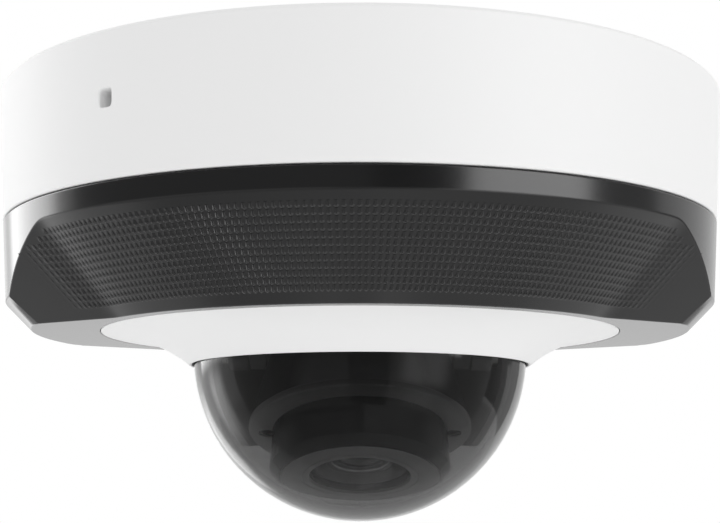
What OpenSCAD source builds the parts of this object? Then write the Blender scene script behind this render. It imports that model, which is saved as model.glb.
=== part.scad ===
// Ceiling dome camera. A white cover hangs on a ceiling plate, a black faceted housing closes it
// from below, and a white collar holds a smoked bubble. Inside, a lens module pans on the chassis,
// tilts between two ears and turns about its own optical axis.
// Millimetres, +Z up. The origin is the centre of the ceiling face. The lens looks toward -Y.

/* [Cover] */
// Radius of the cover at the ceiling
cover_r = 55; // [52:0.5:62]
// How much narrower the cover is at the seam than at the ceiling
cover_draft = 1; // [0:0.1:2]
// Height of the cover from the ceiling to the seam
cover_h = 19.7; // [18.5:0.1:24]
// Wall of the cover
cover_wall = 2.6; // [2:0.1:3.4]
// Chamfer on the edge that meets the ceiling
cover_chamfer = 0.5; // [0.2:0.1:1]
// Thickness of the web that closes the cover under the ceiling plate
web_t = 2.2; // [1.8:0.1:2.8]
// Width of the sound port in the side of the cover
port_w = 2.4; // [1.6:0.1:3]
// Height of the sound port
port_h = 2.8; // [2:0.1:3.4]
// Depth of the sound port's centre below the ceiling
port_drop = 9.25; // [8.5:0.05:10.5]
// Angle of the sound port from the front, to the left
port_turn = 36.7; // [33:0.1:38]

/* [Ceiling plate] */
// Thickness of the ceiling plate
plate_t = 2.4; // [2:0.1:3]
// Radius of the cable opening in the plate
plate_cable_r = 13; // [11:0.5:18]
// Diameter of the circle of ceiling screws
screw_circle = 70; // [60:1:80]
// Number of ceiling screws
screw_count = 4; // [3:1:6]
// Radius of each ceiling screw hole
screw_hole_r = 2.25; // [1.8:0.05:2.75]
// Width of the bayonet lugs, as an angle
lug_angle = 26; // [18:1:34]
// How far the bayonet lugs and lips reach
lug_reach = 2; // [1.4:0.1:2.6]
// Thickness of the cover's bayonet lips
lip_t = 1; // [0.8:0.1:1.2]

/* [Lower housing] */
// Height of the black housing from the seam to its flat underside
housing_h = 15.67; // [15:0.1:19]
// Shadow gap at the seam
seam_gap = 0.2; // [0.1:0.05:0.5]
// How much the band narrows from the seam to the bevel
band_draft = 0.73; // [0.2:0.01:1.4]
// Bevel between the band and the flat underside
bevel = 3.75; // [2.5:0.05:4.5]
// Depth of the facet's top edge below the seam
facet_drop = 3.1; // [2.4:0.1:4]
// Width of the flat ledge between the collar and the facet
ledge_w = 2.5; // [2:0.1:3.2]
// Half angle of the round facet at the front and at the rear
facet_half_angle = 53.2; // [50:0.1:56]
// Direction of the flat planes beside each facet
side_plane_turn = 32.3; // [30:0.1:35]
// Wall of the lower housing, square to the facet
housing_wall = 2.2; // [1.8:0.1:2.6]
// Height of the spigot that enters the cover
spigot_h = 3.3; // [2.6:0.1:3.8]
// Wall of the spigot
spigot_wall = 1.8; // [1.4:0.1:2.2]

/* [Collar] */
// Radius of the white collar
collar_r = 39.3; // [38:0.1:41]
// Thickness of the collar's flange
collar_t = 2; // [1.8:0.1:2.4]
// How far the collar's rim hangs below the flat underside
collar_drop = 4.73; // [4.2:0.01:5.4]
// Width of the rim's flat edge
rim_w = 0.35; // [0.2:0.05:0.6]

/* [Dome] */
// Outer radius of the bubble
dome_r = 25.36; // [24.6:0.02:27]
// Wall of the bubble
dome_wall = 1.6; // [1.3:0.05:1.8]
// Depth of the bubble's centre below the flat underside
dome_drop = 2.82; // [2.5:0.02:3.2]
// Thickness of the bubble's clamped flange
dome_flange_t = 1.8; // [1.4:0.1:2]
// Width of the bubble's clamped flange
dome_flange_w = 3; // [2.4:0.1:3.6]
// Thickness of the bubble's gasket
gasket_t = 0.6; // [0.4:0.05:0.8]

/* [Module] */
// Tilt of the lens from straight down at rest
rest_tilt = 22.5; // [0:0.5:65]
// Width of the lamp face around the shroud
face_rim = 3.4; // [3.2:0.1:4]
// Thickness of the lamp face
face_t = 1; // [0.8:0.1:1.2]
// Radius of the lens barrel's shroud
shroud_r = 12.9; // [12.4:0.1:13.4]
// Wall of the shroud
shroud_wall = 1; // [0.8:0.05:1.2]
// Chamfer at the front of the shroud
shroud_chamfer = 1.3; // [0.9:0.1:1.6]
// Radius of the recess around the lens
recess_r = 7.3; // [7.1:0.05:7.8]
// Radius of the front glass that shows
glass_r = 4.1; // [3.6:0.1:4.4]
// Distance of the infrared lamps' centres from the shroud
lamp_offset = 0.8; // [0.6:0.05:1]
// Radius of each lamp window
lamp_r = 1.2; // [1:0.05:1.25]
// Radius of the module's neck, which turns in the cradle
neck_r = 12.6; // [12.2:0.1:13]
// How much wider the module is just below the neck
waist_step = 1.1; // [0.9:0.1:1.5]
// Radius of the tilt pins
pin_r = 1.2; // [1:0.05:1.5]

/* [Boards] */
// Thickness of the main board
board_t = 1.6; // [1:0.1:2]
// Height of the main board's standoffs
standoff_h = 4.2; // [3.4:0.1:4.8]
// Radius of the cable's hole in the rubber grommet
cable_r = 2.75; // [2:0.05:3.5]

/* [Hidden] */
$fn = 96;

// Clearances
skin = 0.01;            // overlap that joins shapes of one piece
slip = 0.05;            // radial running clearance of shafts and screws
fit = 0.15;             // radial clearance of covers that are pushed together
gap = 0.3;              // free space between pieces that move past each other
far = 200;              // larger than the whole camera

// Cover and ceiling plate
seam_z = -cover_h;
seam_r = cover_r - cover_draft;
inner_r = seam_r - cover_wall;
web_top = -plate_t;
web_z = web_top - web_t;
lug_r = inner_r - 2 * fit;
plate_r = lug_r - lug_reach - fit;
lug_count = 3;
plate_land = 1.2;       // counterbore depth around each ceiling screw
screw_head_r = screw_hole_r + 2;
// Spigot, seal and the ledge that presses it
spigot_r = inner_r - fit;
spigot_in = spigot_r - spigot_wall;
spigot_top = seam_z + spigot_h;
seal_t = 1.2;
seal_top = spigot_top + seal_t;
ledge_t = 1.2;
ledge_in = spigot_in - 0.4;
// Posts: four for the chassis, and four tubes for the housing screws between them
post_count = 4;
post_r = 3.2;
post_circle = spigot_in - post_r - 0.65;
tube_circle = spigot_in - 2.2;
tube_bore = 1.7;
housing_screw_r = 1.45;
housing_head_r = 2.75;
housing_head_h = 1.9;
web_land = web_top - housing_head_h - 0.4;
// Main board
board_r = post_circle - post_r - 0.6;
board_top = web_z - standoff_h;
board_z = board_top - board_t;
board_hole_r = 8.5;
standoff_r = 2.8;
standoff_circle = 36;
standoff_turn = 22.5;
small_screw_r = 0.95;
small_head_r = 1.9;
small_head_h = 1.3;
board_bite = 3.5;       // how deep the screws grip
chassis_bite = 5.5;
housing_bite = 7.5;
// Parts on the board, and the microphone behind the sound port
soc = [14, 14, 1.4];
soc_x = -20;
soc_y = 12;
memory = [9, 12, 1.1];
memory_x = -4;
memory_y = 22;
coil = [11, 10, 5];
coil_x = 20;
coil_y = -16;
power = [7, 7, 3];
power_x = 22;
power_y = -2;
clock = [6, 5, 1];
clock_x = -22;
clock_y = -6;
can_r = 3;
can_h = 5;
can_x = [6, 13];
can_y = -25;
fin_pitch = 2.8;
fin_gap = 1.4;
fin_h = 2.6;
sink_h = 3.6;
header = [17, 6.5, 5];
header_well = [15, 4.1, 5];
header_y = -14.5;
card = [14, 15, 1.9];
card_well = [14, 11.2, 0.9];
card_x = 21;
card_y = 17;
switch = [6, 6, 3];
switch_x = -9;
switch_edge = 13.8;      // distance of the switch from the board's edge
switch_y = switch_edge - board_r;
button_r = 1.5;
button_h = 1.6;
button_in = 1.5;        // how deep the button's well in the switch is
button_stroke = 0.3;
mic_r = 2;
mic_h = 1.6;
boot_r = 3;
boot_h = 3;
boot_back = 0.6;
// Grommet
grommet_neck_r = 6;
grommet_flange = 2;
grommet_lip = 1.2;
// Bubble, gasket and collar
bottom_z = seam_z - housing_h;
dome_z = bottom_z - dome_drop;
rim_z = bottom_z - collar_drop;
dome_in = dome_r - dome_wall;
collar_bore = dome_r + gap;
flange_r = dome_r + dome_flange_w;
clamp_bore = flange_r + fit;
flange_low = dome_z + 0.9;
flange_high = flange_low + dome_flange_t;
shoulder_z = flange_low - gasket_t;
clamp_t = 1.8;
collar_top = bottom_z + collar_t;
collar_reach = collar_r - collar_bore - rim_w;
collar_arc = (pow(collar_reach, 2) + pow(collar_drop, 2)) / (2 * collar_drop);
shelf_t = 1.8;
shelf_w = 4.8;
shelf_in = collar_r - shelf_w;
collar_neck = 0.5;      // least wall beside the bubble's flange
pocket_r = collar_r + 0.1;
collar_screw_circle = (shelf_in + collar_r) / 2;
// Lower housing
band_z = seam_z - seam_gap;
band_r = seam_r - 0.02;
bevel_r = band_r - band_draft;
foot_r = bevel_r - bevel;
facet_low_r = collar_r + ledge_w;
facet_high_z = seam_z - facet_drop;
facet_high_r = band_r - 0.1;
facet_slope = (facet_high_r - facet_low_r) / (facet_high_z - bottom_z);
facet_wall = housing_wall * sqrt(1 + pow(facet_slope, 2));
side_ratio = cos(facet_half_angle - side_plane_turn);
function facet_r(z) = facet_low_r + facet_slope * (z - bottom_z);
shelf_top = collar_top + shelf_t;
cone_top_z = bottom_z + (spigot_in - facet_low_r + facet_wall) / facet_slope;
// Chassis and pan bearing
liner_r = dome_in - 0.76;
liner_wall = 1.1;
liner_in = liner_r - liner_wall;
liner_drop = 14.2;       // how far the liner reaches below the tilt axis
liner_low = dome_z - liner_drop;
liner_front = -1.5;
chassis_t = 1.8;
chassis_top = seam_z + 2.1;
chassis_r = spigot_in - 1;
pan_ring_w = 4;
pan_ring_r = liner_r + pan_ring_w;
bearing_out = pan_ring_r - 0.6;
bearing_in = bearing_out - 1.8;
bearing_r = liner_in - 1.9;
bearing_t = 1.6;
bearing_z = dome_z + 12.2;
washer_t = 0.3;
pan_ring_t = 1.8;
pan_top = bearing_z - washer_t;
pan_low = pan_top - pan_ring_t;
hub_r = bearing_r - slip;
hub_in = hub_r - 2.75;
clip_t = 0.8;
clip_z = bearing_z + bearing_t + 0.1;
clip_groove = 0.65;
clip_reach = 2.6;
clip_split = 3;
hub_top = clip_z + clip_t + 0.6;
// Tilt ears and pins
cradle_wall = 2.25;
boss_h = 1.8;
cradle_r = neck_r + slip + cradle_wall;
ear_x = cradle_r + boss_h + gap;
ear_t = (liner_r - ear_x) / 2;
ear_r = 2.6;
pin_head_r = 2.1;
pin_head_t = 1.1;
// Module, along the optical axis: a is the distance from the tilt axis toward the lens
face_r = shroud_r + face_rim;
face_gap = 0.93;        // between the lamp face's edge and the liner
face_a = sqrt(pow(liner_in - face_gap, 2) - pow(face_r, 2));
waist_r = neck_r + waist_step;
cup_a = face_a - face_t;
shoulder_a = 1.2;
cap_a = -7.3;
cap_t = 1.4;
cup_wall = 1.4;
cup_in = neck_r - cup_wall;
lamp_board_t = 0.8;
lamp_board_a = cup_a - 2;
lamp_x = shroud_r + lamp_offset;
lamp_bore = lamp_x + lamp_r + 0.1;
front_r = shroud_r - shroud_chamfer;
front_a = sqrt(pow(dome_in - 0.64, 2) - pow(front_r, 2));
front_t = 1.4;
bezel_t = 0.5;
bezel_r = front_r - 0.3;
groove_r = recess_r + 1;
cradle_back = -6.5;
cradle_front = 0.9;
boss_r = 2.4;
boss_x = ear_x - gap;
sensor_depth = 7.8;      // from the lamp board back to the sensor board
sensor_board_a = lamp_board_a - sensor_depth;
sensor_board_t = 1;
sensor_board_y = 14;
sensor_x = 8;
sensor_y = 6.4;
sensor_t = 0.8;
filter_w = 7;
filter_t = 0.4;
mount_x = 14;
mount_y = 13.6;
mount_ear = 1;
mount_base_t = 1.5;
mount_a = sensor_board_a + sensor_board_t;
mount_bore = 6.05;
mount_wall = 1.5;
mount_front = lamp_board_a + 0.6;
mount_r = mount_bore + mount_wall;
face_bore = mount_r + fit;
sensor_screw_x = cup_in - 2.2;
head_r = recess_r - 0.4;
head_a = front_a - 1.4;
lens_seat_r = glass_r + 0.85;
ring_seat_r = lens_seat_r + 0.4;
face_screw_y = shroud_r - shroud_wall - 1.5;
face_post_r = 2;
post_back_a = 2;
bite = 0.4;             // how deep posts and ledges grow into the cup's wall
sensor_ledge = 5.4;
sensor_ledge_h = 2.9;
tiny_screw_r = 0.8;     // screws of the module
tiny_head_r = 1.2;
tiny_head_h = 0.8;
face_bite = 3.2;        // how deep the screws grip
sensor_bite = 2;
barrel_back = mount_a + mount_base_t + 1;
barrel_bore = 3.6;
glass_a = head_a - 0.6; // crown of the front glass
glass_curve = 8.5;
seat_a = head_a - 1.7;  // plane where the glass and its ring meet
seat_h = 1.7;
ring_t = 0.6;
lamp_size = 1.6;
lamp_h = 0.9;
lamp_curve = 2.8;
lamp_proud = 0.1;

// ---- shared shapes ----

// A ring about Z between two radii and two heights
module ring(r_out, r_in, z_low, z_high) {
    rotate_extrude() translate([r_in, z_low]) square([r_out - r_in, z_high - z_low]);
}

// A bored tube or post standing along Z
module post(r, z_low, z_high) {
    translate([0, 0, z_low]) cylinder(r = r, h = z_high - z_low);
}

// Copies of a child on a circle
module around(count, radius, start = 0) {
    for (i = [0 : count - 1]) rotate([0, 0, start + i * 360 / count]) translate([radius, 0, 0]) children();
}

// A pan-head screw with its head's seat at z = 0, its shank toward -Z and a hex socket
module screw(shank_r, shank_h, head_r, head_h) {
    difference() {
        union() {
            cylinder(r = head_r, h = head_h);
            translate([0, 0, -shank_h]) cylinder(r = shank_r, h = shank_h + skin);
        }
        translate([0, 0, head_h * 0.45]) cylinder(r = head_r * 0.5, h = head_h, $fn = 6);
    }
}

// The wedge between two angles, seen from above and measured from the front
module wedge(from, to) {
    rotate([0, 0, from - 90]) rotate_extrude(angle = to - from) translate([0, -far]) square([far, 2 * far]);
}

// Moves a child from the module's own frame, with the lens straight down, to its rest tilt
module optic() {
    translate([0, 0, dome_z]) rotate([-rest_tilt, 0, 0]) children();
}

// The module's two face screws, each facing away from the lens along +Y
module at_face_screws() {
    for (turn = [0, 180]) rotate([0, 0, turn]) translate([0, face_screw_y, 0]) children();
}

// The rib that joins a face screw's post to the cup's wall
module face_rib() {
    translate([-face_post_r * 0.8, 0, -lamp_board_a])
        cube([face_post_r * 1.6, waist_r, lamp_board_a - post_back_a]);
}

// The module's two sensor screws
module at_sensor_screws() {
    for (x = [-sensor_screw_x, sensor_screw_x]) translate([x, 0, 0]) children();
}

// The module's two lamps
module at_lamps() {
    for (x = [-lamp_x, lamp_x]) translate([x, 0, 0]) children();
}

// A ring of the module between two distances along the optical axis
module optic_ring(r_out, r_in, a_back, a_front) {
    optic() ring(r_out, r_in, -a_front, -a_back);
}

// ---- fixed on the ceiling ----

module mounting_plate() color("gainsboro") difference() {
    union() {
        post(plate_r, -plate_t, 0);
        for (i = [0 : lug_count - 1]) rotate([0, 0, 90 + i * 360 / lug_count - lug_angle / 2])
            rotate_extrude(angle = lug_angle) translate([plate_r - 1, -plate_t])
                square([lug_r - plate_r + 1, plate_t - lip_t - 0.1]);
    }
    post(plate_cable_r, -far, far);
    around(screw_count, screw_circle / 2, 45) post(screw_hole_r, -far, far);
    around(screw_count, screw_circle / 2, 45) post(screw_head_r, -far, plate_land - plate_t);
}

module cover() color("white") difference() {
    union() {
        rotate_extrude() polygon([
            [inner_r, 0], [cover_r - cover_chamfer, 0], [cover_r, -cover_chamfer], [seam_r, seam_z],
            [inner_r, seam_z]
        ]);
        post(inner_r + skin, web_z, web_top);
        for (i = [0 : lug_count - 1]) rotate([0, 0, 90 + i * 360 / lug_count - lug_angle / 2])
            rotate_extrude(angle = lug_angle) translate([lug_r - lug_reach + fit, -lip_t])
                square([inner_r - lug_r + lug_reach, lip_t]);
        ring(inner_r + skin, ledge_in, seal_top, seal_top + ledge_t);
        around(post_count, post_circle) post(post_r, chassis_top, web_z + skin);
        around(post_count, tube_circle, 45) post(post_r, seal_top + 0.2, web_z + skin);
        around(post_count, standoff_circle, standoff_turn) post(standoff_r, board_top, web_z + skin);
    }
    post(grommet_neck_r + slip, -far, far);
    around(post_count, tube_circle, 45) post(tube_bore, -far, far);
    around(post_count, tube_circle, 45) post(housing_head_r + fit, web_land, far);
    around(post_count, post_circle)
        post(small_screw_r + slip, chassis_top - skin, chassis_top + chassis_bite + 0.5);
    around(post_count, standoff_circle, standoff_turn)
        post(small_screw_r + slip, board_top - skin, board_top + board_bite + 0.5);
    rotate([0, 0, -90 - port_turn]) translate([inner_r - 1, 0, -port_drop]) rotate([0, 90, 0])
        linear_extrude(cover_r - inner_r + 2) port_outline();
}

// The sound port's outline: two round ends above each other
module port_outline() {
    lift = (port_h - port_w) / 2;
    translate([lift, 0]) circle(r = port_w / 2);
    translate([-lift, 0]) circle(r = port_w / 2);
    square([2 * lift, port_w], center = true);
}

module cable_grommet() color("dimgray") difference() {
    union() {
        post(grommet_neck_r, web_z - grommet_lip, web_top + grommet_lip);
        post(grommet_neck_r + grommet_flange, web_top, web_top + grommet_lip);
        post(grommet_neck_r + grommet_flange, web_z - grommet_lip, web_z);
    }
    post(cable_r, -far, far);
}

module body_seal() color("black") ring(spigot_r - fit, spigot_in + fit, spigot_top, seal_top);

// ---- black housing, collar and bubble ----

// Everything outside the facet's cone and its two flat side planes, for the front
module facet_cut() {
    rotate([0, 0, -90 - facet_half_angle]) rotate_extrude(angle = 2 * facet_half_angle) polygon([
        [facet_r(bottom_z - 1), bottom_z - 1], [far, bottom_z - 1], [far, facet_high_z + 2],
        [facet_r(facet_high_z + 2), facet_high_z + 2]
    ]);
    for (side = [0, 1]) mirror([side, 0, 0]) intersection() {
        rotate([0, 0, side_plane_turn - 90]) rotate([90, 0, 0]) linear_extrude(far, center = true) polygon([
            [side_ratio * facet_r(bottom_z - 1), bottom_z - 1], [far, bottom_z - 1],
            [far, facet_high_z + 2], [side_ratio * facet_r(facet_high_z + 2), facet_high_z + 2]
        ]);
        wedge(facet_half_angle, 90);
    }
}

module lower_housing() color([0.16, 0.16, 0.16]) difference() {
    union() {
        difference() {
            rotate_extrude() polygon([
                [pocket_r, bottom_z], [foot_r, bottom_z], [bevel_r, bottom_z + bevel],
                [band_r, band_z], [spigot_r, band_z], [spigot_r, spigot_top], [spigot_in, spigot_top],
                [spigot_in, cone_top_z], [facet_r(shelf_top) - facet_wall, shelf_top],
                [shelf_in, shelf_top], [shelf_in, collar_top], [pocket_r, collar_top]
            ]);
            facet_cut();
            mirror([0, 1, 0]) facet_cut();
        }
        intersection() {
            around(post_count, tube_circle, 45) post(post_r - 0.2, shelf_top, spigot_top);
            rotate_extrude() polygon([
                [0, spigot_top], [spigot_in + skin, spigot_top], [spigot_in + skin, cone_top_z],
                [facet_r(shelf_top) - facet_wall + skin, shelf_top], [0, shelf_top]
            ]);
        }
    }
    around(post_count, tube_circle, 45) post(housing_screw_r + slip, spigot_top - housing_bite - 0.5, far);
    around(post_count, collar_screw_circle, 45) post(small_screw_r + slip, -far, far);
}

module housing_screws() color("silver") around(post_count, tube_circle, 45)
    translate([0, 0, web_land])
        screw(housing_screw_r, web_land - spigot_top + housing_bite, housing_head_r, housing_head_h);

module collar() color([0.92, 0.92, 0.92]) difference() {
    rotate_extrude() difference() {
        polygon([
            [collar_bore, rim_z], [collar_r, rim_z], [collar_r, collar_top], [clamp_bore, collar_top],
            [clamp_bore, shoulder_z], [collar_bore, shoulder_z]
        ]);
        difference() {
            translate([collar_r, bottom_z - collar_arc]) circle(r = collar_arc, $fn = 180);
            polygon([
                [collar_bore, rim_z + gap], [collar_bore + rim_w, rim_z + gap],
                [clamp_bore + collar_neck, shoulder_z], [clamp_bore + collar_neck, collar_top],
                [collar_bore, collar_top]
            ]);
        }
    }
    around(post_count, collar_screw_circle, 45) post(small_screw_r + slip, bottom_z + 0.5, far);
}

module collar_screws() color("silver") around(post_count, collar_screw_circle, 45)
    translate([0, 0, shelf_top]) screw(small_screw_r, shelf_top - bottom_z - 0.7, small_head_r, small_head_h);

// The flat gasket under the bubble's flange, with a lip that shows as a thin line at the rim
module dome_gasket() color("black") {
    ring(flange_r, dome_r + slip, shoulder_z, flange_low);
    ring(collar_bore - slip, dome_r + slip, rim_z + 0.1, flange_low);
}

module dome_bubble() color([0.25, 0.25, 0.27, 0.5]) rotate_extrude() translate([0, dome_z]) difference() {
    union() {
        intersection() {
            circle(r = dome_r, $fn = 180);
            translate([0, -far]) square([far, far]);
        }
        square([dome_r, flange_high - dome_z]);
        translate([0, flange_low - dome_z]) square([flange_r, dome_flange_t]);
    }
    circle(r = dome_in, $fn = 180);
    square([dome_in, far]);
}

module dome_clamp_ring() color("dimgray")
    ring(clamp_bore - slip, dome_in + 0.6, flange_high, flange_high + clamp_t);

// ---- boards ----

module main_board() color("darkgreen") difference() {
    post(board_r, board_z, board_top);
    post(board_hole_r, -far, far);
    around(post_count, standoff_circle, standoff_turn) post(small_screw_r + fit, -far, far);
}

module board_screws() color("silver") around(post_count, standoff_circle, standoff_turn)
    translate([0, 0, board_z]) mirror([0, 0, 1])
        screw(small_screw_r, board_t + board_bite, small_head_r, small_head_h);

// A block that hangs under the main board
module under_board(x, y, size) {
    translate([x - size.x / 2, y - size.y / 2, board_z - size.z]) cube(size);
}

module board_chips() color([0.12, 0.12, 0.12]) {
    under_board(soc_x, soc_y, soc);
    under_board(memory_x, memory_y, memory);
    under_board(coil_x, coil_y, coil);
    under_board(power_x, power_y, power);
    under_board(clock_x, clock_y, clock);
    for (x = can_x) translate([x, can_y, board_z - can_h]) cylinder(r = can_r, h = can_h);
}

module heat_sink() color("silver") difference() {
    translate([0, 0, -soc.z]) under_board(soc_x, soc_y, [soc.x, soc.y, sink_h]);
    for (i = [-2 : 2]) translate([
        soc_x + i * fin_pitch - fin_gap / 2, soc_y - soc.y, board_z - soc.z - sink_h + fin_h - far
    ]) cube([fin_gap, 2 * soc.y, far]);
}

module cable_header() color("ivory") difference() {
    under_board(0, header_y, header);
    under_board(0, header_y - 0.6, header_well + [0, 0, skin]);
}

module card_slot() color("silver") difference() {
    under_board(card_x, card_y, card);
    translate([0, 0, -(card.z - card_well.z) / 2]) under_board(card_x + 1, card_y, card_well);
}

module reset_switch() color("silver") difference() {
    under_board(switch_x, switch_y, switch);
    translate([switch_x, switch_y, board_z - switch.z - skin]) cylinder(r = button_r + slip, h = button_in);
}

module reset_button() color("black")
    translate([switch_x, switch_y, board_z - switch.z - button_h])
        cylinder(r = button_r, h = button_h + button_in - button_stroke - 0.1);

// Moves a child to the wall behind the sound port, facing outwards
module at_port(depth) {
    rotate([0, 0, -90 - port_turn]) translate([inner_r - 0.12 - depth, 0, -port_drop])
        rotate([0, 90, 0]) children();
}
module microphone() color("silver") at_port(boot_h - boot_back) cylinder(r = mic_r, h = mic_h);
module microphone_boot() color("black") at_port(boot_h) difference() {
    cylinder(r = boot_r, h = boot_h);
    translate([0, 0, boot_back - slip]) cylinder(r = mic_r + slip, h = mic_h + 2 * slip);
    cylinder(r = port_w / 2, h = far);
}

// ---- chassis ----

module chassis() color("lightgray") difference() {
    union() {
        ring(chassis_r, bearing_in, chassis_top - chassis_t, chassis_top);
        ring(bearing_out, bearing_in, bearing_z, chassis_top - skin);
        ring(bearing_in + skin, bearing_r, bearing_z, bearing_z + bearing_t);
    }
    around(post_count, tube_circle, 45) post(post_r + 0.4, -far, far);
    around(post_count, post_circle) post(small_screw_r + fit, -far, far);
}

module chassis_screws() color("silver") around(post_count, post_circle)
    translate([0, 0, chassis_top - chassis_t]) mirror([0, 0, 1])
        screw(small_screw_r, chassis_t + chassis_bite, small_head_r, small_head_h);

module pan_washer() color("white") ring(bearing_out - 0.4, bearing_r + 0.4, pan_top, bearing_z);

// ---- turns on the chassis ----

// One ear with the tilt pin's hole, on the +X side
module ear() {
    difference() {
        union() {
            translate([ear_x, 0, dome_z]) rotate([0, 90, 0]) cylinder(r = ear_r, h = ear_t);
            translate([ear_x, -ear_r, dome_z]) cube([ear_t, 2 * ear_r, pan_low - dome_z + skin]);
        }
        translate([0, 0, dome_z]) rotate([0, 90, 0]) cylinder(r = pin_r + slip, h = far);
    }
}

module pan_cradle() color([0.14, 0.14, 0.14]) {
    ring(pan_ring_r, hub_in, pan_low, pan_top);
    difference() {
        ring(hub_r, hub_in, pan_top - skin, hub_top);
        ring(far, hub_r - clip_groove, clip_z - slip, clip_z + clip_t + slip);
    }
    intersection() {
        difference() {
            translate([0, 0, dome_z]) sphere(r = liner_r, $fn = 180);
            translate([0, 0, dome_z]) sphere(r = liner_in, $fn = 180);
            translate([0, 0, dome_z]) rotate([0, 90, 0]) cylinder(
                r = pin_head_r + gap, h = 2 * (ear_x + ear_t + pin_head_t + gap), center = true);
        }
        translate([-far, liner_front, liner_low]) cube([2 * far, far, pan_low - liner_low + skin]);
    }
    ear();
    mirror([1, 0, 0]) ear();
}

module pan_clip() color("silver") difference() {
    ring(bearing_r + clip_reach, hub_r - clip_groove + slip, clip_z, clip_z + clip_t);
    translate([-clip_split / 2, 0, clip_z - 1]) cube([clip_split, far, clip_t + 2]);
}

module tilt_pins() color("silver") for (side = [0, 1]) mirror([side, 0, 0])
    translate([ear_x + ear_t, 0, dome_z]) rotate([0, 90, 0])
        screw(pin_r, ear_x + ear_t - cradle_r + 0.9, pin_head_r, pin_head_t);

// ---- tilts between the ears ----

module tilt_cradle() color([0.2, 0.2, 0.2]) optic() difference() {
    union() {
        ring(cradle_r, neck_r + slip, -cradle_front, -cradle_back);
        for (side = [-1, 1]) translate([side * (boss_x + cradle_r - 0.6) / 2, 0, 0]) rotate([0, 90, 0])
            cylinder(r = boss_r, h = boss_x - cradle_r + 0.6, center = true);
    }
    for (side = [0, 1]) mirror([side, 0, 0]) translate([cradle_r - 1.2, 0, 0]) rotate([0, 90, 0])
        cylinder(r = pin_r + slip, h = far);
}

// ---- turns about the optical axis ----

// A turned cup with two screw posts for the face and two ledges for the sensor board inside
module module_cup() color([0.15, 0.15, 0.15]) optic() {
    rotate_extrude() polygon([
        [cup_in, -cap_a], [neck_r, -cap_a], [neck_r, -shoulder_a], [waist_r, -shoulder_a],
        [face_r - fit, -cup_a], [lamp_bore, -cup_a], [lamp_bore, -lamp_board_a],
        [waist_r, -lamp_board_a], [cup_in, -shoulder_a - cup_wall]
    ]);
    difference() {
        intersection() {
            at_face_screws() {
                post(face_post_r, -lamp_board_a, -post_back_a);
                face_rib();
            }
            rotate_extrude() polygon([
                [0, -post_back_a], [cup_in + bite, -post_back_a],
                [cup_in + bite, -shoulder_a - cup_wall], [waist_r + bite / 2, -lamp_board_a],
                [0, -lamp_board_a]
            ]);
        }
        post(face_bore, -far, far);
        at_face_screws() post(tiny_screw_r + slip, -lamp_board_a - skin, -lamp_board_a + face_bite + 2 * fit);
    }
    difference() {
        intersection() {
            at_sensor_screws() translate([-sensor_ledge / 2, -sensor_ledge / 2, -sensor_board_a])
                cube([sensor_ledge, sensor_ledge, sensor_ledge_h]);
            post(cup_in + bite, -sensor_board_a, -sensor_board_a + sensor_ledge_h);
        }
        at_sensor_screws()
            post(tiny_screw_r + slip, -sensor_board_a - skin, -sensor_board_a + sensor_bite + fit);
    }
}

module module_cap() color([0.15, 0.15, 0.15]) optic() difference() {
    union() {
        post(cradle_r - 1, -cap_a, -cap_a + cap_t);
        ring(cup_in - slip, cup_in - 1.3, -cap_a - 2, -cap_a + skin);
    }
    translate([0, 4, 0]) post(3, -far, far);
}

module sensor_board() color("darkgreen") optic() difference() {
    intersection() {
        translate([-cup_in, -sensor_board_y / 2, -sensor_board_a - sensor_board_t])
            cube([2 * cup_in, sensor_board_y, sensor_board_t]);
        post(cup_in - 0.4, -far, far);
    }
    at_sensor_screws() post(tiny_screw_r + fit, -far, far);
}

module sensor_screws() color("silver") optic() at_sensor_screws()
    translate([0, 0, -mount_a - mount_base_t]) mirror([0, 0, 1])
        screw(tiny_screw_r, mount_base_t + sensor_board_t + sensor_bite, tiny_head_r, tiny_head_h);

module image_sensor() color([0.1, 0.1, 0.2]) optic()
    translate([-sensor_x / 2, -sensor_y / 2, -mount_a - sensor_t]) cube([sensor_x, sensor_y, sensor_t]);

module ir_filter() color([0.5, 0.2, 0.25]) optic()
    translate([-filter_w / 2, -filter_w / 2, -mount_a - mount_base_t]) cube([filter_w, filter_w, filter_t]);

module lens_mount() color([0.13, 0.13, 0.13]) optic() difference() {
    union() {
        translate([-mount_x / 2, -mount_y / 2, -mount_a - mount_base_t])
            cube([mount_x, mount_y, mount_base_t]);
        translate([-sensor_screw_x - mount_ear, -2 * mount_ear, -mount_a - mount_base_t])
            cube([2 * (sensor_screw_x + mount_ear), 4 * mount_ear, mount_base_t]);
        post(mount_r, -mount_front, -mount_a - mount_base_t + skin);
    }
    post(mount_bore, -far, -mount_a - mount_base_t);
    translate([-filter_w / 2 - 0.1, -filter_w / 2 - 0.1, -mount_a - mount_base_t - 1])
        cube([filter_w + 0.2, filter_w + 0.2, mount_base_t - filter_t + 1]);
    translate([-sensor_x / 2 - 0.6, -sensor_y / 2 - 0.6, -mount_a - sensor_t - 0.1])
        cube([sensor_x + 1.2, sensor_y + 1.2, far]);
    at_sensor_screws() post(tiny_screw_r + fit, -far, far);
}

module rear_lens() color([0.6, 0.65, 0.7, 0.5]) optic() intersection() {
    post(barrel_bore - slip, -barrel_back - 4, -barrel_back - 1);
    translate([0, 0, -barrel_back - 9]) sphere(r = 8);
}

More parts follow.
